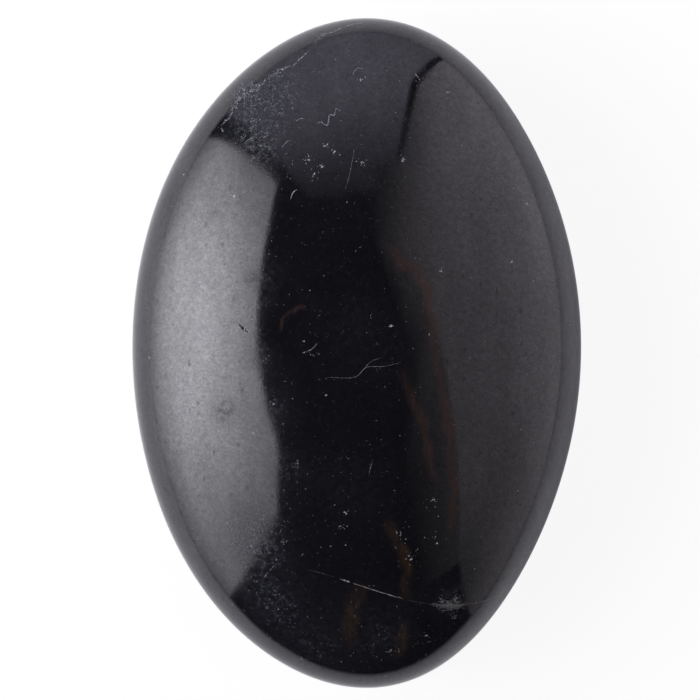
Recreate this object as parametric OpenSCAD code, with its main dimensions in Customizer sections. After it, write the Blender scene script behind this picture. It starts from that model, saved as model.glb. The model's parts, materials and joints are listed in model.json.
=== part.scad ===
/* [Stone] */
// Length of the stone, end to end
stone_length = 90; // [60:1:120]
// Width of the stone at its widest line
stone_width = 60.3; // [42:0.1:75]
// Thickness of the stone, from its resting flat to its crown
stone_thickness = 28; // [20:0.5:36]
// Share of the width that lies left of the crown
left_share = 0.522; // [0.48:0.002:0.54]
// Share of the length that lies above the crown
upper_share = 0.491; // [0.46:0.001:0.54]
// Depth of the flat worn into the underside
flat_depth = 0.4; // [0.2:0.1:1]

/* [Veins] */
// Widest part of the lower vein's hairline
lower_vein_width = 0.26; // [0.2:0.02:0.4]
// Extra width of the crusty swelling in the lower vein
swelling_width = 0.8; // [0.4:0.1:1.2]
// Length of the swelling
swelling_length = 4.6; // [3:0.2:6]
// Widest part of the middle vein
middle_vein_width = 0.2; // [0.16:0.02:0.3]
// Depth that the middle vein reaches below the crown
middle_vein_depth = 2; // [1.5:0.5:5]

/* [Hidden] */

// Radii of the stone on each side of its crown
left_radius = stone_width * left_share;
right_radius = stone_width - left_radius;
upper_radius = stone_length * upper_share;
lower_radius = stone_length - upper_radius;
crown_radius = (stone_thickness + flat_depth) / 2;

// The crown stands off centre, so that the stone's outline is centred on the origin
crown_place = [(left_radius - right_radius) / 2, (lower_radius - upper_radius) / 2];
waist_height = stone_thickness - crown_radius;

// The veins' runs, in shares of the half width and the half length from the centre of the outline
half_size = [stone_width / 2, stone_length / 2];
lower_vein_bend = [[-0.44, -0.62], [-0.07, -0.61], [0.3, -0.83], [0.66, -0.71]];
middle_vein_run = [[-0.13, -0.071], [-0.011, -0.071], [0.042, -0.042], [0.118, -0.039], [0.194, -0.027]];
middle_vein_branch = [[0.03, -0.05], [0.072, -0.022], [0.114, -0.012]];

// Where the swelling is widest, in shares of the lower vein's run
swelling_place = 0.78;
// The lower vein reaches down to this share of the height between the waist and the crown
lower_vein_floor = 0.12;

ball_facets = 128;
vein_steps = 24;

// A share of the half size as a place on the stone
function on_stone(share) = [share[0] * half_size[0], share[1] * half_size[1]];

// The point at t from 0 to 1 along a smooth bend that is drawn by four corner points
function along_bend(corners, t) =
    pow(1 - t, 3) * corners[0] + 3 * t * pow(1 - t, 2) * corners[1]
    + 3 * pow(t, 2) * (1 - t) * corners[2] + pow(t, 3) * corners[3];

// A vein is nothing at its tips and reaches its full width soon after them
function tapered(t) = sqrt(sin(180 * t));

// A smooth bump that is 1 at its middle and fades over the given reach
function bump(distance, reach) = exp(-pow(distance / reach, 2));

// The outline of a thin vein: out along one side of its run and back along the other
function ribbon(run, widths) =
    let (last = len(run) - 1)
    concat(
        [for (i = [0 : last]) run[i] + [0, widths[i] / 2]],
        [for (i = [last - 1 : -1 : 1]) run[i] - [0, widths[i] / 2]]
    );

// One quarter of the stone: a quarter of a ball, stretched to its own side and end radii
module stone_quarter(side_radius, end_radius, turn) {
    scale([side_radius, end_radius, crown_radius])
        rotate([0, 0, turn])
            rotate_extrude(angle = 90, $fn = ball_facets)
                intersection() {
                    circle(r = 1, $fn = ball_facets);
                    translate([0, -1])
                        square([1, 2]);
                }
}

// The whole stone with no veins, resting on the plane z = 0
module whole_stone() {
    difference() {
        translate([crown_place[0], crown_place[1], waist_height])
            union() {
                stone_quarter(right_radius, upper_radius, 0);
                stone_quarter(left_radius, upper_radius, 90);
                stone_quarter(left_radius, lower_radius, 180);
                stone_quarter(right_radius, lower_radius, 270);
            }
        translate([-stone_width, -stone_length, -stone_thickness])
            cube([2 * stone_width, 2 * stone_length, stone_thickness]);
    }
}

// The upright sheet that a vein fills, from its floor to above the stone
module sheet(run, widths, floor_height) {
    translate([0, 0, floor_height])
        linear_extrude(height = stone_thickness)
            polygon(ribbon(run, widths));
}

module lower_vein_sheet() {
    shares = [for (i = [0 : vein_steps]) i / vein_steps];
    run = [for (t = shares) on_stone(along_bend(lower_vein_bend, t))];
    run_length = norm(run[vein_steps] - run[0]);
    widths = [for (t = shares)
        tapered(t) * (lower_vein_width
            + swelling_width * bump((t - swelling_place) * run_length, swelling_length / 2))];
    sheet(run, widths, waist_height + lower_vein_floor * crown_radius);
}

module middle_vein_sheet() {
    runs = [middle_vein_run, middle_vein_branch];
    for (shares = runs) {
        last = len(shares) - 1;
        run = [for (share = shares) on_stone(share)];
        widths = [for (i = [0 : last]) middle_vein_width * tapered(i / last)];
        sheet(run, widths, stone_thickness - middle_vein_depth);
    }
}

module stone_body() {
    color("#17171b")
        difference() {
            whole_stone();
            lower_vein_sheet();
            middle_vein_sheet();
        }
}

module lower_vein() {
    color("#b8b6b0")
        intersection() {
            whole_stone();
            lower_vein_sheet();
        }
}

module middle_vein() {
    color("#8f9096")
        intersection() {
            whole_stone();
            middle_vein_sheet();
        }
}

stone_body();
lower_vein();
middle_vein();
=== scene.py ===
"""The looks of the basalt massage stone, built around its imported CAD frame. Lengths are in metres."""

import json
import math

import bpy
import numpy as np
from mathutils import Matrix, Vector


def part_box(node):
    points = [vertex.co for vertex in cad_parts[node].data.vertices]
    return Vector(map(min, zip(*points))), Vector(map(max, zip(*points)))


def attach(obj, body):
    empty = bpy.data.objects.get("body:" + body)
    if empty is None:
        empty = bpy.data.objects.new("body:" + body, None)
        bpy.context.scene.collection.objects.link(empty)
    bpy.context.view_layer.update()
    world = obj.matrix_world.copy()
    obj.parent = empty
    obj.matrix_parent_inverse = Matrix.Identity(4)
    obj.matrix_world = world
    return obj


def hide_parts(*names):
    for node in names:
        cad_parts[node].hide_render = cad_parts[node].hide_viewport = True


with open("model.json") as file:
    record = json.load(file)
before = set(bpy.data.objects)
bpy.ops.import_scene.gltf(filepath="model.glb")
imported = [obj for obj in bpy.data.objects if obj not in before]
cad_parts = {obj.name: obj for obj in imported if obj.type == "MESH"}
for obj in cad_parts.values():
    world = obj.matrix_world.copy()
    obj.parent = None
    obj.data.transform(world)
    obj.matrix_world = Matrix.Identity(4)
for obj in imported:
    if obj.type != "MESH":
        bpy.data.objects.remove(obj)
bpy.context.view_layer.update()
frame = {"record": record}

MM = 0.001

# The CAD body gives the stone's size, and the mount under it gives the place of its crown.
LOW, HIGH = (np.array(corner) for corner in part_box("stone_body"))
HALF = (HIGH - LOW) / 2
MIDDLE = (HIGH + LOW) / 2
CROWN = np.array(frame["record"]["mounts"][0]["pos_m"][:2]) - MIDDLE[:2]
# The flat underneath cuts this much off the ball that the stone is, and runs softly into its curve.
FLAT_DEPTH = 0.4 * MM
FLAT_SOFTNESS = 0.06 * MM
BALL_HEIGHT = HALF[2] + FLAT_DEPTH / 2
WAIST = HIGH[2] - BALL_HEIGHT


# ---------------------------------------------------------------- the polished body

# The outline isn't a true oval. Each quarter of it is fuller or slimmer at its diagonal, by a share of the
# radius. A quarter is named by its side, 1 for right, and its end, 1 for the blunter one.
QUARTER_FULLNESS = (
    ((1, 1), -0.020),
    ((-1, 1), -0.005),
    ((-1, -1), 0.005),
    ((1, -1), -0.025),
)

# Hand polishing leaves broad low swells. Each has a place, in shares of the half width and half length
# from the middle of the outline, then its reach and its height.
SWELLS = (
    ((-0.17, -0.27), 7 * MM, 0.30 * MM),
    ((-0.30, 0.46), 6 * MM, 0.05 * MM),
)


def unit(vectors):
    return vectors / np.linalg.norm(vectors, axis=1, keepdims=True)


def ball(rounds):
    """An even ball of triangles with radius 1: a twenty-sided one, split into four some rounds over."""
    golden = (1 + math.sqrt(5)) / 2
    corners = []
    for a in (-1, 1):
        for b in (-golden, golden):
            corners += [(0, a, b), (a, b, 0), (b, 0, a)]
    points = unit(np.array(corners))
    count = len(corners)
    side = 2 / math.hypot(1, golden)
    near = np.linalg.norm(points[:, None] - points[None], axis=2) < side * 1.01
    triangles = []
    for i in range(count):
        for j in range(i + 1, count):
            for k in range(j + 1, count):
                if near[i, j] and near[j, k] and near[i, k]:
                    turn = np.cross(points[j] - points[i], points[k] - points[i])
                    triangles.append((i, j, k) if turn @ points[i] > 0 else (i, k, j))
    triangles = np.array(triangles)
    for _ in range(rounds):
        points, triangles = split(points, triangles, np.ones(len(triangles), bool))
    return points, triangles


def split(points, triangles, wanted):
    """Splits the wanted triangles into four, and their neighbours so that no gap opens.

    The new points go onto the ball.
    """
    sides = np.sort(triangles[:, [[0, 1], [1, 2], [2, 0]]], axis=2)
    edges, which = np.unique(sides.reshape(-1, 2), axis=0, return_inverse=True)
    which = which.reshape(-1, 3)
    cut = np.zeros(len(edges), bool)
    cut[which[wanted]] = True
    while (cut[which].sum(1) == 2).any():
        cut[which[cut[which].sum(1) == 2]] = True
    centres = unit(points[edges[cut]].sum(1))
    centre_of = np.cumsum(cut) - 1 + len(points)
    count = cut[which].sum(1)
    whole = triangles[count == 0]
    a, b, c = triangles[count == 3].T
    ab, bc, ca = centre_of[which[count == 3]].T
    quarters = [np.stack(t, 1) for t in ((a, ab, ca), (ab, b, bc), (ca, bc, c), (ab, bc, ca))]
    halves = []
    for first in range(3):
        one = (count == 1) & cut[which[:, first]]
        p, q, r = np.roll(triangles[one], -first, axis=1).T
        m = centre_of[which[one, first]]
        halves += [np.stack((p, m, r), 1), np.stack((m, q, r), 1)]
    return np.concatenate((points, centres)), np.concatenate([whole, *quarters, *halves])


def fullness(x, y):
    """How much fuller than an oval the outline is: most at the diagonals, nothing at the sides and ends."""
    total = 0
    for (side, end), share in QUARTER_FULLNESS:
        nearness = (1 + side * math.sqrt(2) * x) * (1 + end * math.sqrt(2) * y) / 4
        total = total + share * nearness * (2 * x * y) ** 2
    return total


def smooth_body(ways):
    """The body before any mark, out from its middle in the given ways, points of a ball of radius 1."""
    x, y, z = ways.T
    swell = 1 + fullness(x, y)
    px = MIDDLE[0] + HALF[0] * x * swell + CROWN[0] * (1 - x * x)
    py = MIDDLE[1] + HALF[1] * y * swell + CROWN[1] * (1 - y * y)
    pz = WAIST + BALL_HEIGHT * z
    above_flat = (pz + np.sqrt(pz * pz + FLAT_SOFTNESS * FLAT_SOFTNESS)) / 2
    return np.stack((px, py, above_flat), 1)


def ways_to(shares):
    """The ways to places on the upper side, which are shares of the half width and half length."""
    shares = np.atleast_2d(shares)
    goal = MIDDLE[:2] + shares * HALF[:2]
    guess = shares * 0.95
    furthest = 0.9995
    tries = 40
    for _ in range(tries):
        too_far = np.maximum(np.linalg.norm(guess, axis=1, keepdims=True) / furthest, 1)
        guess = guess / too_far
        ways = np.column_stack((guess, np.sqrt(1 - (guess ** 2).sum(1))))
        guess = guess + (goal - smooth_body(ways)[:, :2]) / HALF[:2]
    return ways


def waves(points, size, seed, count=10):
    """A smooth random swing of about -1 to 1 over the points, whose bumps are about the given size.

    It is the sum of count plane waves in random ways, each between 1.4 and 2.8 sizes long.
    """
    rng = np.random.default_rng(seed)
    swing = np.zeros(len(points))
    for way in unit(rng.normal(size=(count, 3))):
        length = size * rng.uniform(1.4, 2.8)
        swing += np.sin(points @ way * (2 * math.pi / length) + rng.uniform(0, 2 * math.pi))
    return swing / math.sqrt(count)


# ---------------------------------------------------------------- the marks on it

# All places here are on the upper side, in shares of the half width and half length.
# The ragged scar runs along the upper left edge. Its knots are where it is crushed most: each has a share
# of its run, a reach along it and a strength.
SCAR = (
    (-0.61, 0.63), (-0.57, 0.70), (-0.53, 0.74), (-0.48, 0.77), (-0.42, 0.80),
    (-0.33, 0.84), (-0.23, 0.88), (-0.15, 0.94), (0.01, 0.985),
)
SCAR_KNOTS = (
    (0.27, 0.11, 1.0), (0.44, 0.07, 0.45), (0.79, 0.02, 0.4), (0.87, 0.02, 0.25), (0.99, 0.02, 0.3),
)
# Fine cracks, each a bend with its half width in millimetres and how pale it is.
CRACKS = (
    (
        (
            (-0.18, 0.67), (-0.16, 0.68), (-0.13, 0.67), (-0.12, 0.70),
            (-0.10, 0.70), (-0.09, 0.72), (-0.07, 0.71),
        ),
        0.045,
        0.5,
    ),
    (((-0.27, 0.68), (-0.25, 0.69), (-0.23, 0.69)), 0.05, 0.3),
    (((-0.29, 0.45), (-0.28, 0.47), (-0.26, 0.48)), 0.05, 0.5),
    (((-0.53, 0.60), (-0.53, 0.50), (-0.54, 0.44)), 0.03, 0.2),
    (((-0.02, 0.82), (0.0, 0.84), (0.03, 0.84)), 0.04, 0.3),
    (((-0.52, 0.085), (-0.47, 0.06)), 0.16, 0.0),
    (((-0.24, 0.0), (-0.20, 0.01), (-0.17, 0.03)), 0.04, 0.4),
    (((-0.05, 0.48), (-0.03, 0.53), (-0.01, 0.60)), 0.025, 0.3),
    (((0.05, -0.36), (0.07, -0.31)), 0.03, 0.4),
)
# Hatches are groups of short fine scratches that run one way, each with a reach in millimetres,
# the way they run in degrees, and how many they are.
HATCHES = (
    ((-0.46, 0.60), 1.5, 32, 12),
    ((-0.36, 0.62), 1.6, 30, 6),
    ((-0.40, -0.56), 2.6, 55, 7),
)
# Bruises are clusters of crushed, pale dents, each with a reach in millimetres.
BRUISES = (
    ((-0.13, 0.61), 0.40), ((-0.10, 0.59), 0.25), ((-0.21, 0.57), 0.40), ((-0.15, 0.55), 0.30),
    ((-0.19, 0.52), 0.50), ((0.02, 0.56), 0.35), ((0.20, 0.57), 0.30), ((0.27, 0.81), 0.60),
    ((0.01, 0.81), 0.70), ((0.40, 0.77), 0.20), ((-0.19, -0.01), 0.50), ((0.15, 0.08), 0.20),
    ((0.75, 0.44), 0.15), ((0.68, 0.27), 0.20), ((0.37, 0.24), 0.20), ((0.33, -0.43), 0.60),
    ((0.35, -0.55), 0.80), ((0.19, -0.53), 0.60), ((0.21, -0.58), 0.80), ((0.24, -0.60), 0.50),
    ((-0.26, -0.32), 0.40), ((-0.07, -0.51), 0.35), ((-0.05, -0.47), 0.25), ((0.31, -0.84), 0.50),
    ((0.43, -0.78), 0.40), ((-0.24, -0.91), 0.35), ((0.15, -0.88), 0.40), ((-0.54, 0.46), 0.35),
    ((0.37, -0.73), 0.60), ((0.44, -0.72), 0.60),
)
# Soft dark smudges where the polish is worn, each with a reach in millimetres.
SMUDGES = (
    ((-0.63, 0.41), 0.45), ((-0.86, 0.24), 0.30), ((-0.47, 0.22), 0.80), ((-0.58, -0.17), 1.9),
    ((-0.65, -0.43), 0.40), ((-0.50, -0.11), 0.40), ((-0.57, -0.07), 0.40), ((-0.53, 0.16), 0.5),
)
# Stretches that fine scratches have frosted, each with a reach in millimetres and a strength.
FROSTS = (
    ((-0.44, 0.71), 4.6, 0.65), ((-0.51, 0.78), 1.9, 1.0), ((-0.32, 0.79), 4.0, 0.35),
    ((-0.42, 0.59), 3.0, 0.5), ((-0.46, -0.54), 4.5, 0.65), ((-0.38, -0.72), 4.5, 0.35),
    ((-0.20, -0.86), 5.0, 0.30), ((0.12, -0.84), 5.0, 0.30), ((0.02, 0.05), 5.0, 0.15),
    ((-0.03, -0.38), 5.0, 0.15), ((0.0, 0.58), 6.0, 0.15), ((0.42, -0.73), 2.5, 0.5),
    ((-0.42, -0.02), 2.0, 0.4), ((-0.41, 0.22), 2.5, 0.35), ((-0.36, -0.16), 2.5, 0.35),
    ((-0.30, -0.34), 2.5, 0.35),
)
# Rust-brown streaks of iron stain, each a bend with its half width in millimetres and its strength.
STAINS = (
    (((0.14, 0.31), (0.19, 0.27), (0.26, 0.24), (0.31, 0.17), (0.33, 0.08), (0.35, -0.01)), 1.1, 0.75),
    (((0.34, 0.03), (0.37, -0.09), (0.40, -0.22), (0.42, -0.36), (0.42, -0.51)), 1.0, 0.75),
    (((0.20, -0.06), (0.25, -0.14), (0.29, -0.20), (0.31, -0.28), (0.33, -0.37)), 0.9, 0.65),
    (((0.14, -0.50), (0.17, -0.55), (0.21, -0.60), (0.22, -0.66), (0.21, -0.72)), 1.1, 0.5),
    (((0.21, -0.80), (0.20, -0.85), (0.18, -0.90)), 1.0, 0.5),
    (((-0.33, 0.07), (-0.31, 0.11), (-0.26, 0.13), (-0.22, 0.13)), 0.35, 0.9),
    (((0.01, -0.70), (-0.02, -0.76), (-0.03, -0.85)), 1.5, 0.4),
)


def bend(places, step):
    """Evenly spaced points on the body, along a smooth bend through places on its upper side."""
    pieces_between = 24
    places = np.array(places, float)
    before = np.vstack((2 * places[0] - places[1], places[:-2]))
    after = np.vstack((places[2:], 2 * places[-1] - places[-2]))
    t = np.linspace(0, 1, pieces_between, endpoint=False)[:, None]
    rows = []
    for a, b, c, d in zip(before, places[:-1], places[1:], after):
        square = 2 * a - 5 * b + 4 * c - d
        cube = 3 * b - a - 3 * c + d
        rows.append((2 * b + (c - a) * t + square * t ** 2 + cube * t ** 3) / 2)
    line = smooth_body(ways_to(np.vstack((*rows, places[-1:]))))
    run = np.concatenate(([0], np.cumsum(np.linalg.norm(np.diff(line, axis=0), axis=1))))
    stops = np.arange(0, run[-1], step)
    return np.stack([np.interp(stops, run, line[:, axis]) for axis in range(3)], 1)


# How deep a dent is, as a share of its radius. The cracks in the scar are a little shallower.
DENT_DEPTH = 0.3
SCAR_DEPTH = 0.25


class Dents:
    """Round dents in the body: their middles, radii and depths, how pale their floors are, and the longest
    triangle side that still shows each."""

    def __init__(self):
        self.rows = []

    def add(self, middles, radii, depth_share, pale, side):
        for middle, radius in zip(middles, radii):
            self.rows.append((*middle, radius, radius * depth_share, pale, side))

    def done(self):
        table = np.array(self.rows)
        self.middle = table[:, :3]
        self.radius, self.depth, self.pale, self.side = table[:, 3:].T
        return self


def inside(points, middles, radii):
    """For each middle in turn: its number, the points within its radius, and how far out they are in it."""
    order = np.argsort(points[:, 1])
    rows = points[order, 1]
    for number, (middle, radius) in enumerate(zip(middles, radii)):
        first, last = np.searchsorted(rows, (middle[1] - radius, middle[1] + radius))
        some = order[first:last]
        share = np.linalg.norm(points[some] - middle, axis=1) / radius
        yield number, some[share < 1], share[share < 1]


def tapered(count, blunt):
    """A row of widths that thin out toward both ends. The blunter, the less they do."""
    return np.sqrt(np.sin(np.linspace(blunt, math.pi - blunt, count)))


def add_crack(dents, rng, places, half_width, pale):
    """A groove along a bend, as a row of small dents that wander a little."""
    step = half_width * 0.6 * MM
    finest_side = 0.045 * MM
    line = bend(places, step)
    taper = tapered(len(line), 0.15)
    line = line + rng.normal(size=line.shape) * half_width * 0.3 * MM
    radii = half_width * taper * rng.uniform(0.7, 1.4, len(line)) * MM
    dents.add(line, radii, DENT_DEPTH, pale, max(finest_side, step))


def add_scar(dents, rng):
    """A broken crack in a ragged band of small chips."""
    line = bend(SCAR, 0.04 * MM)
    run = np.linspace(0, 1, len(line))
    strength = 0.06 + sum(high * np.exp(-((run - place) / reach) ** 2) for place, reach, high in SCAR_KNOTS)
    wander = (0.22 * MM, -0.14 * MM, 0.1 * MM)
    line = line + waves(line, 1.0 * MM, seed=5)[:, None] * wander

    core = rng.uniform(0, 1, len(line)) < 0.3 + 0.6 * strength
    jitter = rng.normal(size=(int(core.sum()), 3)) * (0.05 + 0.12 * strength[core])[:, None] * MM
    core_radii = (0.03 + 0.035 * strength[core]) * MM
    dents.add(line[core] + jitter, core_radii, SCAR_DEPTH, pale=0.6, side=0.06 * MM)

    chip_count = 1400
    chips = rng.choice(len(line), chip_count, p=strength / strength.sum())
    spread = rng.standard_t(3, size=(chip_count, 3)) * strength[chips, None] * 0.42 * MM
    chip_radii = rng.uniform(0.03, 0.09, chip_count) * MM
    dents.add(line[chips] + spread, chip_radii, DENT_DEPTH, pale=0.42, side=0.07 * MM)


def add_hatch(dents, rng, place, reach, turn, count):
    """Short, nearly parallel scratches around a place."""
    half_width = 0.028
    for _ in range(count):
        middle = np.array(place) + rng.normal(size=2) * reach * MM / HALF[:2]
        way = math.radians(turn + rng.normal() * 8)
        half = rng.uniform(0.25, 0.8) * MM * np.array((math.cos(way), math.sin(way))) / HALF[:2]
        add_crack(dents, rng, (middle - half, middle + half), half_width, rng.uniform(0.1, 0.4))


def add_bruise(dents, rng, place, reach):
    """A cluster of small pale dents, more of them in a wider bruise."""
    middle = smooth_body(ways_to(place))[0]
    count = int(8 + reach * 22)
    offsets = rng.normal(size=(count, 3)) * reach * 0.4 * MM
    radii = rng.uniform(0.03, 0.10, count) * MM
    dents.add(middle + offsets, radii, DENT_DEPTH, pale=0.7, side=0.055 * MM)


def add_pits(dents, rng, count):
    """Tiny open pits all over the stone, mostly small, with a dark floor or a pale one."""
    middles = smooth_body(unit(rng.normal(size=(count, 3))))
    radii = (0.05 + 0.10 * rng.uniform(0, 1, count) ** 3) * MM
    floors = rng.choice((0, 0.1, 0.35), count)
    for middle, radius, pale in zip(middles, radii, floors):
        dents.add([middle], [radius], DENT_DEPTH, pale, side=0.06 * MM)


def all_dents():
    """Every dent in the stone, in an order that never changes, so that the random draws don't either."""
    rng = np.random.default_rng(11)
    dents = Dents()
    add_scar(dents, rng)
    for places, half_width, pale in CRACKS:
        add_crack(dents, rng, places, half_width, pale)
    for place, reach in BRUISES:
        add_bruise(dents, rng, place, reach)
    for hatch in HATCHES:
        add_hatch(dents, rng, *hatch)
    add_pits(dents, rng, count=260)
    return dents.done()


DENTS = all_dents()


def raggedness(points):
    """Small shifts that make round dents ragged."""
    return np.stack([waves(points, 0.12 * MM, seed) for seed in (21, 22, 23)], 1) * 0.03 * MM


def surface(ways):
    """The finished surface: the smooth body with its swells, its polishing ripples and its dents."""
    points = smooth_body(ways)
    broad = 0.012 * MM * waves(points, 9 * MM, seed=3)
    lengthwise = 0.0018 * MM * waves(points * (1, 0.2, 1), 1.5 * MM, seed=4)
    lift = broad + lengthwise
    for place, reach, height in SWELLS:
        middle = smooth_body(ways_to(place))[0]
        lift += height * np.exp(-(((points - middle) / reach) ** 2).sum(1))
    dent = np.zeros(len(points))
    for number, some, share in inside(points + raggedness(points), DENTS.middle, DENTS.radius):
        dent[some] = np.maximum(dent[some], DENTS.depth[number] * (1 - share ** 2) ** 2)
    points = points + leaning(ways) * (lift - dent)[:, None]
    points[:, 2] = np.maximum(points[:, 2], 0)
    return points


def leaning(ways):
    """The way out of the smooth body, near enough to move points along."""
    return unit(ways / (HALF[0], HALF[1], BALL_HEIGHT))


def outward(ways, reach=0.0004):
    """The surface's normal in each way, from four nearby points."""
    helper = np.where(np.abs(ways[:, 2:]) < 0.9, (0.0, 0.0, 1.0), (1.0, 0.0, 0.0))
    across = unit(np.cross(helper, ways)) * reach
    along = np.cross(ways, across)
    du = surface(unit(ways + across)) - surface(unit(ways - across))
    dv = surface(unit(ways + along)) - surface(unit(ways - along))
    return unit(np.cross(du, dv))


def refined_ball():
    """A ball of triangles that are coarse below, finer above and finest at the dents and stains.

    Away from a dent, the longest side that is allowed grows with the gap to it.
    """
    growth = 0.75
    reach = 1.0 * MM
    stain_side = 0.35 * MM
    no_limit = 1.0
    slack = 1.4
    ways, triangles = ball(5)
    ways, triangles = split(ways, triangles, ways[triangles].mean(1)[:, 2] > -0.1)
    lines = [bend(places, width * MM) for places, width, _ in STAINS]
    line_radii = [np.full(len(line), width * MM) for line, (_, width, _) in zip(lines, STAINS)]
    middles = np.vstack((DENTS.middle, *lines))
    radii = np.concatenate((DENTS.radius, *line_radii))
    sides = np.concatenate((DENTS.side, np.full(len(radii) - len(DENTS.side), stain_side)))
    for _ in range(4):
        corners = smooth_body(ways)[triangles]
        longest = np.linalg.norm(corners - np.roll(corners, 1, axis=1), axis=2).max(1)
        allowed = np.full(len(triangles), no_limit)
        for number, some, share in inside(corners.mean(1), middles, radii + reach):
            gap = np.maximum(share * (radii[number] + reach) - radii[number], 0)
            allowed[some] = np.minimum(allowed[some], sides[number] + growth * gap)
        ways, triangles = split(ways, triangles, longest > allowed * slack)
    return ways, triangles


def mesh_object(name, points, triangles, normals=None):
    mesh = bpy.data.meshes.new(name)
    mesh.from_pydata(points.tolist(), [], triangles.tolist())
    mesh.update()
    if normals is not None:
        mesh.polygons.foreach_set("use_smooth", [True] * len(mesh.polygons))
        mesh.normals_split_custom_set_from_vertices(normals.tolist())
    thing = bpy.data.objects.new(name, mesh)
    bpy.context.scene.collection.objects.link(thing)
    return thing


def add_field(thing, name, values):
    """Keeps one number for each of a mesh's points, for its material to read."""
    field = thing.data.attributes.new(name, "FLOAT", "POINT")
    field.data.foreach_set("value", values.astype(np.float32))


def pale_field(points):
    """How pale the crushed floor of a dent is, from 0 to 1."""
    pale = np.zeros(len(points))
    crushed = DENTS.radius * 1.15
    for number, some, share in inside(points + raggedness(points), DENTS.middle, crushed):
        fade = np.clip((1 - share) * 3, 0, 1)
        pale[some] = np.maximum(pale[some], DENTS.pale[number] * fade)
    return pale


def stain_field(points):
    """How strongly iron stains the stone, from 0 to 1."""
    stain = np.zeros(len(points))
    wander = np.stack([waves(points, 1.3 * MM, seed) for seed in (31, 32, 33)], 1) * 0.2 * MM
    for places, width, strength in STAINS:
        line = bend(places, width * 0.3 * MM)
        ends = tapered(len(line), 0.2)
        for number, some, share in inside(points + wander, line, np.full(len(line), width * MM)):
            stain[some] = np.maximum(stain[some], strength * ends[number] * (1 - share ** 2) ** 1.5)
    return stain


def cloud_field(points, clouds):
    """The sum of soft round clouds, each with a place, a reach in millimetres and a strength."""
    total = np.zeros(len(points))
    for place, reach, strength in clouds:
        middle = smooth_body(ways_to(place))[0]
        total += strength * np.exp(-(((points - middle) / (reach * MM)) ** 2).sum(1))
    return total


def make_stone():
    ways, triangles = refined_ball()
    stone = mesh_object("polished_stone", surface(ways), triangles, outward(ways))
    plain = smooth_body(ways)
    add_field(stone, "pale", pale_field(plain))
    add_field(stone, "stain", stain_field(plain))
    add_field(stone, "smudge", cloud_field(plain, [(*smudge, 1.0) for smudge in SMUDGES]))
    add_field(stone, "frost", cloud_field(plain, FROSTS))
    stone.data.materials.append(stone_material())
    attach(stone, "root")
    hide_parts("stone_body")


# ---------------------------------------------------------------- the veins and mineral grains

# The veins follow the CAD veins. The lower one is a smooth bend that is drawn by four corner places.
LOWER_VEIN_BEND = ((-0.44, -0.62), (-0.07, -0.61), (0.3, -0.83), (0.66, -0.71))
MIDDLE_VEIN_RUN = ((-0.13, -0.071), (-0.011, -0.071), (0.042, -0.042), (0.118, -0.039), (0.194, -0.027))
MIDDLE_VEIN_BRANCH = ((0.03, -0.05), (0.05, -0.032), (0.072, -0.022), (0.114, -0.012))
# Where the lower vein reaches the surface: from and to, in shares of its run, and its half width there.
LOWER_VEIN_STRETCHES = (
    (0.03, 0.10, 0.006), (0.20, 0.31, 0.008), (0.33, 0.37, 0.08), (0.38, 0.58, 0.05),
    (0.60, 0.69, 0.008), (0.71, 0.84, 0.020), (0.86, 1.00, 0.015),
)
# The swelling's middle and reach along the lower vein, in shares of its run.
SWELLING = (0.775, 0.075)
# The section of a vein strip, from its left edge over its low crown to its right edge and back underneath:
# how far across, as a share of the half width, and how high over the stone, in millimetres.
STRIP_SECTION = (
    (-1.0, -0.006), (-0.5, 0.006), (0.0, 0.010), (0.5, 0.006), (1.0, -0.006), (0.6, -0.09), (-0.6, -0.09),
)


def along_lower_vein(t):
    """Places at shares t of the lower vein's run."""
    a, b, c, d = (np.array(corner) for corner in LOWER_VEIN_BEND)
    t = np.atleast_1d(t)[:, None]
    return (1 - t) ** 3 * a + 3 * t * (1 - t) ** 2 * b + 3 * t ** 2 * (1 - t) * c + t ** 3 * d


def strip(places, half_width, seed):
    """A thin closed strip of mineral that fills a crack. Its top is just proud of the stone."""
    rows = len(places)
    rng = np.random.default_rng(seed)
    places = np.array(places)
    run = np.gradient(places * HALF[:2], axis=0)
    side = np.stack((-run[:, 1], run[:, 0]), 1) / np.linalg.norm(run, axis=1, keepdims=True)
    wide = half_width * MM * tapered(rows, 0.05) * rng.uniform(0.45, 1.5, rows)
    middle = places * HALF[:2] + side * rng.normal(size=(rows, 1)) * half_width * 0.35 * MM
    rings = []
    for share, height in STRIP_SECTION:
        ways = ways_to((middle + side * (wide * share)[:, None]) / HALF[:2])
        rings.append(surface(ways) + leaning(ways) * height * MM)
    points = np.stack(rings, 1).reshape(-1, 3)
    ring = len(STRIP_SECTION)
    faces = []
    for row in range(rows - 1):
        for j in range(ring):
            a, b = row * ring + j, row * ring + (j + 1) % ring
            faces += [(a, a + ring, b + ring), (a, b + ring, b)]
    for j in range(1, ring - 1):
        faces.append((0, j, j + 1))
        last = (rows - 1) * ring
        faces.append((last, last + j + 1, last + j))
    return points, np.array(faces)


def grains(ways, sizes, proud, seed):
    """Small angular grains set into the surface. Proud is their height, as a share of their width."""
    rng = np.random.default_rng(seed)
    corners, faces = ball(0)
    flattened = 1 - proud
    parts = []
    for middle, out, size in zip(surface(ways), leaning(ways), sizes):
        shape = corners * rng.uniform(0.6, 1.2, (len(corners), 1)) * size
        shape -= (shape @ out)[:, None] * out * flattened
        parts.append((middle + shape, faces))
    return joined(parts)


def joined(parts):
    """Several lots of points and triangles as one."""
    starts = np.cumsum([0] + [len(points) for points, _ in parts[:-1]])
    triangles = np.concatenate([faces + start for start, (_, faces) in zip(starts, parts)])
    return np.concatenate([points for points, _ in parts]), triangles


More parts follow.
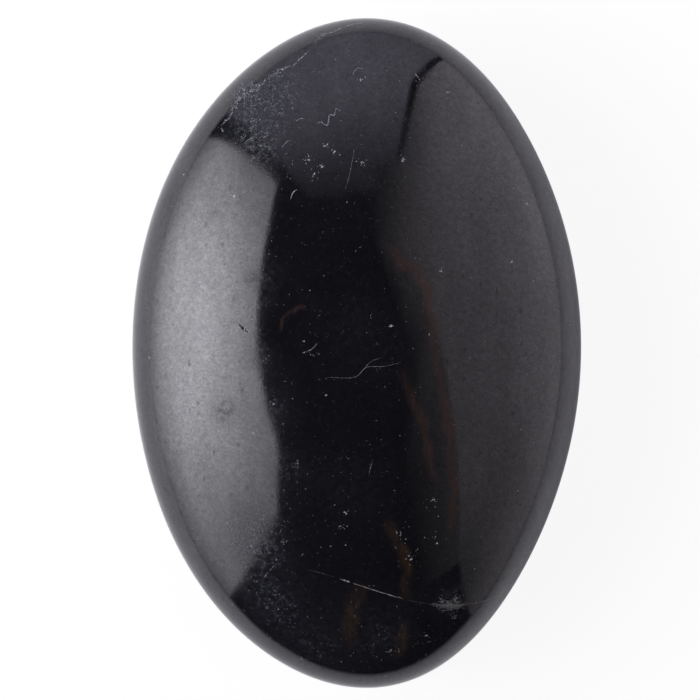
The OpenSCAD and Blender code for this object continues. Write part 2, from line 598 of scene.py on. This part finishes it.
def make_lower_vein():
    rows_per_run = 330
    parts = []
    for number, (start, end, half_width) in enumerate(LOWER_VEIN_STRETCHES):
        t = np.linspace(start, end, int((end - start) * rows_per_run))
        parts.append(strip(along_lower_vein(t), half_width, seed=50 + number))
    material = vein_material("pale_vein", 0.24)
    place_vein("lower_vein_mineral", parts, "lower_vein", material)


def make_middle_vein():
    run = strip(bend_places(MIDDLE_VEIN_RUN), 0.04, seed=61)
    branch = strip(bend_places(MIDDLE_VEIN_BRANCH), 0.03, seed=62)
    material = vein_material("grey_vein", 0.11)
    place_vein("middle_vein_mineral", [run, branch], "middle_vein", material)


def bend_places(places):
    """Closely spaced places along a smooth bend through a few."""
    return (bend(places, 0.12 * MM)[:, :2] - MIDDLE[:2]) / HALF[:2]


def place_vein(name, parts, node, material):
    vein = mesh_object(name, *joined(parts))
    vein.data.materials.append(material)
    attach(vein, "root")
    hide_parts(node)


def make_swelling_crystals():
    """The crust of small crystals on the lower vein's swelling."""
    rng = np.random.default_rng(71)
    count = 420
    middle, reach = SWELLING
    t = rng.normal(size=count) * 0.5
    offsets = rng.normal(size=(count, 2)) * (0.2 * MM, 0.40 * MM) * np.exp(-t * t)[:, None]
    ways = ways_to(along_lower_vein(middle + reach * t) + offsets / HALF[:2])
    points, triangles = grains(ways, rng.uniform(0.03, 0.085, count) * MM, proud=0.3, seed=72)
    crystals = mesh_object("swelling_crystals", points, triangles)
    crystals.data.materials.append(vein_material("crystal_crust", 0.13))
    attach(crystals, "root")


def make_flecks():
    """Flecks of paler mineral, polished flush with the rock: some anywhere, more around the bruises."""
    rng = np.random.default_rng(81)
    anywhere_count = 420
    bruise_count = 7
    anywhere = unit(rng.normal(size=(anywhere_count, 3)))
    around = []
    for place, reach in BRUISES:
        around.append(ways_to(np.array(place) + rng.normal(size=(bruise_count, 2)) * reach * MM / HALF[:2]))
    ways = np.vstack((anywhere, *around))
    sizes = (0.035 + 0.075 * rng.uniform(0, 1, len(ways)) ** 2.5) * MM
    points, triangles = grains(ways, sizes, proud=0.05, seed=82)
    flecks = mesh_object("mineral_flecks", points, triangles)
    flecks.data.materials.append(vein_material("fleck_mineral", 0.22))
    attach(flecks, "root")


# ---------------------------------------------------------------- materials

class Recipe:
    """A material or world that is being written down. Each call adds one node and gives its output."""

    def __init__(self, owner):
        owner.use_nodes = True
        self.owner = owner
        self.tree = owner.node_tree
        self.tree.nodes.clear()
        place = self.add("TexCoord", {}, {}, "Object")
        self.place = self.vector("SCALE", place, Scale=1 / MM)

    def feed(self, socket, value):
        if isinstance(value, bpy.types.NodeSocket):
            self.tree.links.new(value, socket)
        else:
            socket.default_value = value

    def add(self, kind, settings, inputs, output=0):
        """One node of a kind. An input is a number, a colour or another node's output."""
        node = self.tree.nodes.new("ShaderNode" + kind)
        for name, value in settings.items():
            setattr(node, name, value)
        for name, value in inputs.items():
            self.feed(node.inputs[name], value)
        return node.outputs[output]

    def done(self, shader, kind="OutputMaterial"):
        end = self.tree.nodes.new("ShaderNode" + kind)
        self.feed(end.inputs["Surface"], shader)
        return self.owner

    def vector(self, operation, first, second=(0, 0, 0), third=(0, 0, 0), output=0, **more):
        inputs = {0: first, 1: second, 2: third, **more}
        return self.add("VectorMath", {"operation": operation}, inputs, output)

    def maths(self, operation, first, second=0.0):
        return self.add("Math", {"operation": operation}, {0: first, 1: second})

    def field(self, name):
        return self.add("Attribute", {"attribute_name": name}, {}, "Fac")

    def noise(self, size, detail=2.0, place=None):
        """Cloudy noise from 0 to 1, whose bumps are about size millimetres."""
        inputs = {"Vector": place or self.place, "Scale": 1 / size, "Detail": detail}
        return self.add("TexNoise", {}, inputs, "Fac")

    def span(self, value, low, high, to_low=0.0, to_high=1.0):
        """Carries low..high onto to_low..to_high, and holds it there."""
        inputs = {"Value": value, "From Min": low, "From Max": high, "To Min": to_low, "To Max": to_high}
        return self.add("MapRange", {}, inputs)

    def blend(self, share, first, second):
        """Two colours mixed. The node's colour sockets share their names, so they go by number."""
        inputs = {"Factor": share, 6: first, 7: second}
        return self.add("Mix", {"data_type": "RGBA"}, inputs, 2)

    def bump(self, height, strength):
        """A shading normal for relief of at most 0.02 mm."""
        inputs = {"Height": height, "Strength": strength, "Distance": 0.02 * MM}
        return self.add("Bump", {}, inputs, "Normal")

    def wobbled(self, cell, scale, detail, amount):
        """The place on the stone, shifted about by noise, so that cells on it turn out crooked."""
        inputs = {"Vector": self.place, "Scale": scale / cell, "Detail": detail}
        wobble = self.add("TexNoise", {}, inputs, "Color")
        return self.vector("MULTIPLY_ADD", wobble, (amount * cell,) * 3, self.place)

    def turned(self, turn, shift, width, length):
        """The place on the stone, turned and stretched, so that noise on it runs one way."""
        inputs = {
            "Vector": self.place,
            "Rotation": (0, 0, math.radians(turn)),
            "Scale": (width, length, width),
            "Location": (shift, 0, 0),
        }
        return self.add("Mapping", {"vector_type": "TEXTURE"}, inputs)

    def scratches(self, turn, shift, width=0.09, length=3.5, fewer=0.0):
        """Hair-thin lines that run one way over the stone, from 0 to 1. A higher fewer leaves more out."""
        lines = self.noise(1, 1.0, self.turned(turn, shift, width, length))
        return self.span(self.maths("SUBTRACT", lines, fewer), 0.67, 0.79)

    def web(self, cell, width):
        """A net of thin crooked lines between cells, from 0 to 1."""
        inputs = {"Vector": self.wobbled(cell, 1.6, 2.0, 1.1), "Scale": 1 / cell}
        edge = self.add("TexVoronoi", {"feature": "DISTANCE_TO_EDGE"}, inputs, "Distance")
        return self.span(edge, width, width * 0.3)

    def specks(self, cell, kept, size, more=0.0, stretch=(1, 1, 1)):
        """Small ragged dots, one to a cell at most, from 0 to 1.

        Kept is the share of cells that have one, and size is the largest dot's radius as a share of the
        cell. More adds to kept, where it is given.
        """
        ragged = self.wobbled(cell, 2.2, 1.0, 0.5)
        inputs = {"Vector": self.vector("MULTIPLY", ragged, stretch), "Scale": 1 / cell}
        cells = self.add("TexVoronoi", {}, inputs)
        picked = self.add("SeparateColor", {}, {"Color": cells.node.outputs["Color"]}, "Red")
        chance = self.maths("ADD", self.maths("SUBTRACT", kept, picked), more)
        radius = self.span(chance, 0.0, 0.6, 0.0, size)
        return self.span(self.maths("SUBTRACT", radius, cells), 0.0, size * 0.4)


def new_recipe(name):
    return Recipe(bpy.data.materials.new(name))


def faded(recipe, value, faults):
    """Value, cut by each fault in turn by a share."""
    for fault, share in faults:
        value = recipe.maths("MULTIPLY", value, recipe.span(fault, 0.0, 1.0, 1.0, 1 - share))
    return value


def strongest(recipe, first, *others):
    """The highest of some values, place by place."""
    for other in others:
        first = recipe.maths("MAXIMUM", first, other)
    return first


class StoneMarks:
    """Where the grain and each kind of mark lies on the stone, each from 0 to 1, for its material."""

    def __init__(self, recipe):
        self.recipe = recipe
        self.add_grain()
        self.add_wear()
        self.add_lines()
        self.add_mineral()

    def cut(self, value, by, low, high, to_low=0.0, to_high=1.0):
        """Value times by, once by is carried from low..high onto to_low..to_high."""
        return self.recipe.maths("MULTIPLY", value, self.recipe.span(by, low, high, to_low, to_high))

    def add_grain(self):
        recipe = self.recipe
        self.grain = recipe.noise(0.28, 3.0)
        self.mottle = recipe.noise(0.75, 3.0)
        self.clouds = recipe.noise(5.0, 3.0)
        self.bands = recipe.noise(3.2, 1.0, recipe.vector("MULTIPLY", recipe.place, (1, 0.25, 1)))
        self.brushed = recipe.noise(1, 1.0, recipe.turned(55, 0, 0.16, 0.9))
        self.ragged = recipe.noise(0.12, 2.0)

    def add_wear(self):
        recipe = self.recipe
        self.frost = self.cut(recipe.field("frost"), self.mottle, 0.35, 0.65, 0.4, 1.3)
        self.haze = self.cut(self.frost, self.ragged, 0.38, 0.68, 0.05, 1.0)
        web = self.cut(recipe.web(0.55, 0.14), self.grain, 0.38, 0.58)
        self.web = self.cut(web, self.frost, 0.25, 1.0)
        self.smudge = self.cut(recipe.field("smudge"), self.mottle, 0.40, 0.60, 0.15, 1.0)
        self.pale = self.cut(recipe.field("pale"), self.ragged, 0.30, 0.58)

    def add_lines(self):
        recipe = self.recipe
        scratch = strongest(recipe, *[recipe.scratches(*run) for run in ((-35, 0), (-62, 7), (28, 13))])
        self.scratch = self.cut(scratch, self.mottle, 0.38, 0.60)
        hairs = strongest(recipe, *[recipe.scratches(*run, 0.06, 1.2) for run in ((-20, 3), (-75, 9))])
        self.hairs = self.cut(hairs, self.frost, 0.25, 0.9)
        self.strokes = recipe.scratches(-24, 5, 0.10, 6.0, 0.09)
        self.lines = strongest(recipe, self.scratch, self.hairs, self.strokes)

    def add_mineral(self):
        recipe = self.recipe
        self.dust = recipe.specks(0.34, 0.36, 0.34, recipe.maths("MULTIPLY", self.frost, 0.5))
        self.crumbs = recipe.specks(0.95, 0.45, 0.16, recipe.maths("MULTIPLY", self.frost, 0.2))
        self.flecks = recipe.specks(1.1, 0.55, 0.32, stretch=(1, 0.6, 1))
        streaks = recipe.noise(0.55, 1.0, recipe.vector("MULTIPLY", recipe.place, (1, 0.10, 1)))
        self.stain = self.cut(recipe.field("stain"), streaks, 0.3, 0.65, 0.45, 1.1)
        self.dull = strongest(recipe, self.crumbs, self.pale, recipe.maths("MULTIPLY", self.dust, 0.5))


def stone_colour(recipe, marks):
    """Near-black rock under iron stain, and each kind of pale mark over it by its own share."""
    darkest = (0.0012, 0.0012, 0.0016, 1)
    dark = (0.0030, 0.0030, 0.0040, 1)
    orange_rust = (0.036, 0.0195, 0.0085, 1)
    red_rust = (0.031, 0.0168, 0.0135, 1)
    along = recipe.add("SeparateXYZ", {}, {0: recipe.place}, "Y")
    rust = recipe.blend(recipe.span(along, -24.0, -16.0), orange_rust, red_rust)
    colour = recipe.blend(marks.clouds, darkest, dark)
    colour = recipe.blend(marks.stain, colour, rust)
    layers = (
        (marks.haze, 0.40, (0.070, 0.074, 0.088, 1)),
        (marks.scratch, 0.15, (0.050, 0.053, 0.070, 1)),
        (marks.hairs, 0.40, (0.090, 0.094, 0.110, 1)),
        (marks.strokes, 0.25, (0.100, 0.104, 0.120, 1)),
        (marks.dust, 0.50, (0.180, 0.186, 0.210, 1)),
        (marks.web, 0.36, (0.200, 0.204, 0.222, 1)),
        (marks.crumbs, 0.60, (0.120, 0.120, 0.130, 1)),
        (marks.pale, 1.0, (0.500, 0.510, 0.540, 1)),
    )
    for layer, share, layer_colour in layers:
        colour = recipe.blend(recipe.maths("MULTIPLY", layer, share), colour, layer_colour)
    return colour


def stone_roughness(recipe, marks):
    """A mirror polish, rougher by a share wherever a mark is."""
    roughness = recipe.span(marks.clouds, 0.3, 0.7, 0.045, 0.085)
    faults = ((marks.dull, 0.3), (marks.smudge, 0.10), (marks.frost, 0.11), (marks.lines, 0.06))
    for fault, share in faults:
        roughness = recipe.maths("ADD", roughness, recipe.maths("MULTIPLY", fault, share))
    return roughness


def stone_gloss(recipe, marks):
    """How strongly the polish mirrors: uneven with the grain, and weaker where the stone is marked."""
    gloss = recipe.span(marks.grain, 0.3, 0.7, 0.42, 0.58)
    patterns = ((marks.mottle, 0.88, 1.12), (marks.bands, 0.91, 1.06), (marks.brushed, 0.88, 1.10))
    for pattern, low, high in patterns:
        gloss = marks.cut(gloss, pattern, 0.3, 0.7, low, high)
    faults = (
        (marks.dull, 0.5),
        (marks.flecks, 0.30),
        (marks.smudge, 0.55),
        (marks.lines, 0.22),
        (marks.frost, 0.70),
        (marks.stain, 0.80),
    )
    return faded(recipe, gloss, faults)


def stone_bump(recipe, marks):
    """Grain too fine for the mesh, ragged floors in the pale marks, and scratches cut in."""
    grain = recipe.maths("MULTIPLY", marks.grain, 0.4)
    crushed = recipe.maths("MULTIPLY", marks.ragged, marks.pale)
    relief = recipe.maths("ADD", grain, crushed)
    relief = recipe.maths("SUBTRACT", relief, recipe.maths("MULTIPLY", marks.lines, 0.15))
    return recipe.bump(relief, 0.3)


def stone_material():
    """Black rock with a mirror polish, fine wear, mineral dust and iron stain."""
    recipe = new_recipe("polished_dark_rock")
    marks = StoneMarks(recipe)
    inputs = {
        "Base Color": stone_colour(recipe, marks),
        "Roughness": stone_roughness(recipe, marks),
        "Specular IOR Level": stone_gloss(recipe, marks),
        "IOR": 1.6,
        "Normal": stone_bump(recipe, marks),
    }
    return recipe.done(recipe.add("BsdfPrincipled", {}, inputs))


def vein_material(name, paleness):
    """Pale crystalline mineral, cloudy, with a sugary surface."""
    recipe = new_recipe(name)
    clouds = recipe.noise(0.35, 3.0)
    sugar = recipe.noise(0.06, 2.0)
    dark = (paleness * 0.35, paleness * 0.35, paleness * 0.36, 1)
    light = (paleness, paleness * 0.98, paleness * 0.94, 1)
    colour = recipe.blend(recipe.span(clouds, 0.35, 0.62), dark, light)
    inputs = {
        "Base Color": colour,
        "Roughness": recipe.span(sugar, 0.3, 0.7, 0.22, 0.5),
        "IOR": 1.55,
        "Normal": recipe.bump(sugar, 0.4),
    }
    return recipe.done(recipe.add("BsdfPrincipled", {}, inputs))


# ---------------------------------------------------------------- studio

# Distance from the stone to the panels around it. Places in the studio are given in this unit.
STUDIO = 0.4


def glow_material(name, colour, dim, bright, spot, reach, foot=(0.1, 1.0)):
    """Light that is bright around a spot and fades to dim over its reach, both as x, y, z in studio units.

    The foot is a height in studio units and the share of the light that is left at the floor. The panel's
    own shares scale the light too.
    """
    recipe = new_recipe(name)
    unit_mm = STUDIO / MM
    away = recipe.vector("SUBTRACT", recipe.place, Vector(spot) * unit_mm)
    away = recipe.vector("DIVIDE", away, Vector(reach) * unit_mm)
    fade = recipe.maths("POWER", 1 / math.e, recipe.vector("DOT_PRODUCT", away, away, output="Value"))
    height = recipe.add("SeparateXYZ", {}, {0: recipe.place}, "Z")
    low = recipe.span(height, 0.0, foot[0] * unit_mm, foot[1], 1.0)
    strength = recipe.maths("MULTIPLY", recipe.span(fade, 0.0, 1.0, dim, bright), low)
    strength = recipe.maths("MULTIPLY", strength, recipe.field("share"))
    return recipe.done(recipe.add("Emission", {}, {"Color": (*colour, 1), "Strength": strength}))


def panel(name, rows, material, shares=None):
    """A glowing sheet through rows of points in studio units, lowest row first.

    Shares, one to a point, make its light uneven. The camera itself doesn't see it.
    """
    points = np.array(rows) * STUDIO
    high, wide = points.shape[:2]
    faces = []
    for row in range(high - 1):
        for i in range(wide - 1):
            a = row * wide + i
            faces += [(a, a + 1, a + 1 + wide), (a, a + 1 + wide, a + wide)]
    thing = mesh_object(name, points.reshape(-1, 3), np.array(faces))
    add_field(thing, "share", np.ones(high * wide) if shares is None else np.ravel(shares))
    thing.data.materials.append(material)
    thing.visible_camera = False


def make_softbox():
    """The bright soft box on the left."""
    rows = (
        ((-1, -0.95, 0.00), (-1, 0.75, 0.00)),
        ((-1, -0.95, 1.90), (-1, 0.95, 1.85)),
    )
    spot = (-1, 0.1, 0.7)
    reach = (1, 0.55, 0.95)
    foot = (0.45, 0.45)
    panel("left_softbox", rows, glow_material("softbox_glow", (1, 0.99, 1.06), 1.8, 6.6, spot, reach, foot))


def make_right_board():
    """A weaker board that bends round the right side, with a dim fringe along its top."""
    top_row = (
        (0.20, 0.55, 1.0), (0.15, 0.25, 1.0), (0.35, 0.05, 1.0), (0.55, -0.35, 1.0), (0.85, -0.85, 1.0),
    )
    rows = (
        ((0.60, 1.00, 0.0), (0.90, 0.75, 0.0), (1.05, 0.15, 0.0), (1.05, -0.40, 0.0), (0.90, -0.95, 0.0)),
        ((0.40, 0.95, 0.7), (0.35, 0.40, 0.7), (0.55, 0.10, 0.7), (0.70, -0.35, 0.7), (0.85, -0.90, 0.7)),
        top_row,
    )
    shares = (
        (1.00, 1.00, 1.05, 1.10, 1.10),
        (1.10, 1.15, 0.90, 0.75, 0.65),
        (0.75, 0.65, 1.10, 1.10, 0.80),
    )
    colour = (1.03, 0.96, 1.06)
    spot = (0.95, 0.5, 0.1)
    reach = (1.1, 1, 0.8)
    foot = (0.15, 0.9)
    glow = glow_material("right_board_glow", colour, 0.3, 1.42, spot, reach, foot)
    panel("right_board", rows, glow, shares)

    fringe_rows = (
        top_row,
        ((0.05, 0.50, 1.0), (0.05, 0.25, 1.0), (0.20, 0.00, 1.0), (0.20, -0.30, 1.0), (0.45, -0.85, 1.0)),
    )
    fringe_shares = (
        (0.30, 0.30, 0.30, 0.25, 0.20),
        (0.10, 0.10, 0.05, 0.05, 0.05),
    )
    even = glow_material("fringe_glow", colour, 1, 1, (0, 0, 1), (1, 1, 1))
    panel("right_board_fringe", fringe_rows, even, fringe_shares)


def make_back_board():
    """A board behind the stone, that nearly meets the right one."""
    rows = (
        ((-1.10, 1, 0.00), (0.55, 1, 0.00)),
        ((-1.00, 1, 0.75), (0.35, 1, 0.75)),
        ((-0.70, 1, 2.60), (0.30, 1, 2.60)),
    )
    spot = (-0.3, 1, 0.6)
    reach = (1.5, 1, 1.1)
    panel("back_board", rows, glow_material("back_board_glow", (0.97, 0.94, 1.15), 0.12, 1.0, spot, reach))


def make_floor():
    reach = 20 * STUDIO
    corners = np.array([(-reach, -reach, 0), (reach, -reach, 0), (reach, reach, 0), (-reach, reach, 0)])
    floor = mesh_object("floor", corners, np.array([(0, 1, 2), (0, 2, 3)]))
    floor.data.materials.append(floor_material())


def make_fill():
    """Soft light from the left that the polish doesn't mirror: it lights the floor and the pale marks."""
    left = 0.75
    height = 0.55
    size = 0.5
    power = 0.55
    lean = 0.3
    data = bpy.data.lights.new("soft_fill", "AREA")
    data.size = size * STUDIO
    data.energy = power
    fill = bpy.data.objects.new("soft_fill", data)
    fill.location = (-left * STUDIO, 0, height * STUDIO)
    fill.rotation_euler = (0, -math.atan2(left, height) * lean, 0)
    fill.visible_glossy = False
    fill.visible_camera = False
    bpy.context.scene.collection.objects.link(fill)


def floor_material():
    """Pale paper with painted shade: its colour darkens away from the stone, most of all before and behind
    it, standing in for light that falls off away from the stone.

    The stone's polish mirrors the paper as it is lit. The camera sees it evenly white, but for a soft shadow
    near the stone. Distances are in lengths of the stone.
    """
    recipe = new_recipe("pale_floor")
    stone_length = 2 * HALF[1] / MM
    near_paper = (0.9, 0.9, 0.9, 1)
    far_paper_painted_shade = (0.5, 0.5, 0.53, 1)
    # Painted shade: the paper's colour fades from the near colour to the darker far one away from the stone,
    # in place of light falling off.
    lengthwise = recipe.vector("MULTIPLY", recipe.place, (0.7, 1, 1))
    behind = recipe.vector("LENGTH", lengthwise, output="Value")
    painted_falloff = recipe.span(behind, 0.8 * stone_length, 4.0 * stone_length)
    colour = recipe.blend(painted_falloff, near_paper, far_paper_painted_shade)
    paper = recipe.add("BsdfPrincipled", {}, {"Base Color": colour, "Roughness": 0.9})
    even = recipe.add("Emission", {}, {"Strength": 1.0})
    camera_ray = recipe.add("LightPath", {}, {}, "Is Camera Ray")
    away = recipe.vector("LENGTH", recipe.place, output="Value")
    whiteness = recipe.span(away, 0.6 * stone_length, 1.5 * stone_length, 0.90, 1.0)
    share = recipe.maths("MULTIPLY", camera_ray, whiteness)
    return recipe.done(recipe.add("MixShader", {}, {0: share, 1: paper, 2: even}))


def make_world():
    """A dim room that the camera itself sees as white."""
    world = bpy.data.worlds.new("room")
    bpy.context.scene.world = world
    recipe = Recipe(world)
    dim = recipe.add("Background", {}, {"Color": (0.045, 0.045, 0.062, 1)})
    white = recipe.add("Background", {}, {"Color": (1, 1, 1, 1)})
    camera_ray = recipe.add("LightPath", {}, {}, "Is Camera Ray")
    recipe.done(recipe.add("MixShader", {}, {0: camera_ray, 1: dim, 2: white}), "OutputWorld")


def make_camera():
    """A camera right above the stone, a touch off its middle, framing its length with a small margin."""
    distance = 0.7
    margin = 1.045
    sensor = 36
    off_middle = (-0.9 * MM, 0.4 * MM)
    data = bpy.data.cameras.new("camera")
    data.sensor_width = sensor
    data.lens = sensor * distance / (2 * HALF[1] * margin)
    camera = bpy.data.objects.new("camera", data)
    bpy.context.scene.collection.objects.link(camera)
    camera.location = (MIDDLE[0] + off_middle[0], MIDDLE[1] + off_middle[1], WAIST + distance)
    bpy.context.scene.camera = camera
    bpy.context.scene.view_settings.view_transform = "Standard"


make_stone()
make_lower_vein()
make_middle_vein()
make_swelling_crystals()
make_flecks()
make_softbox()
make_right_board()
make_back_board()
make_floor()
make_fill()
make_world()
make_camera()
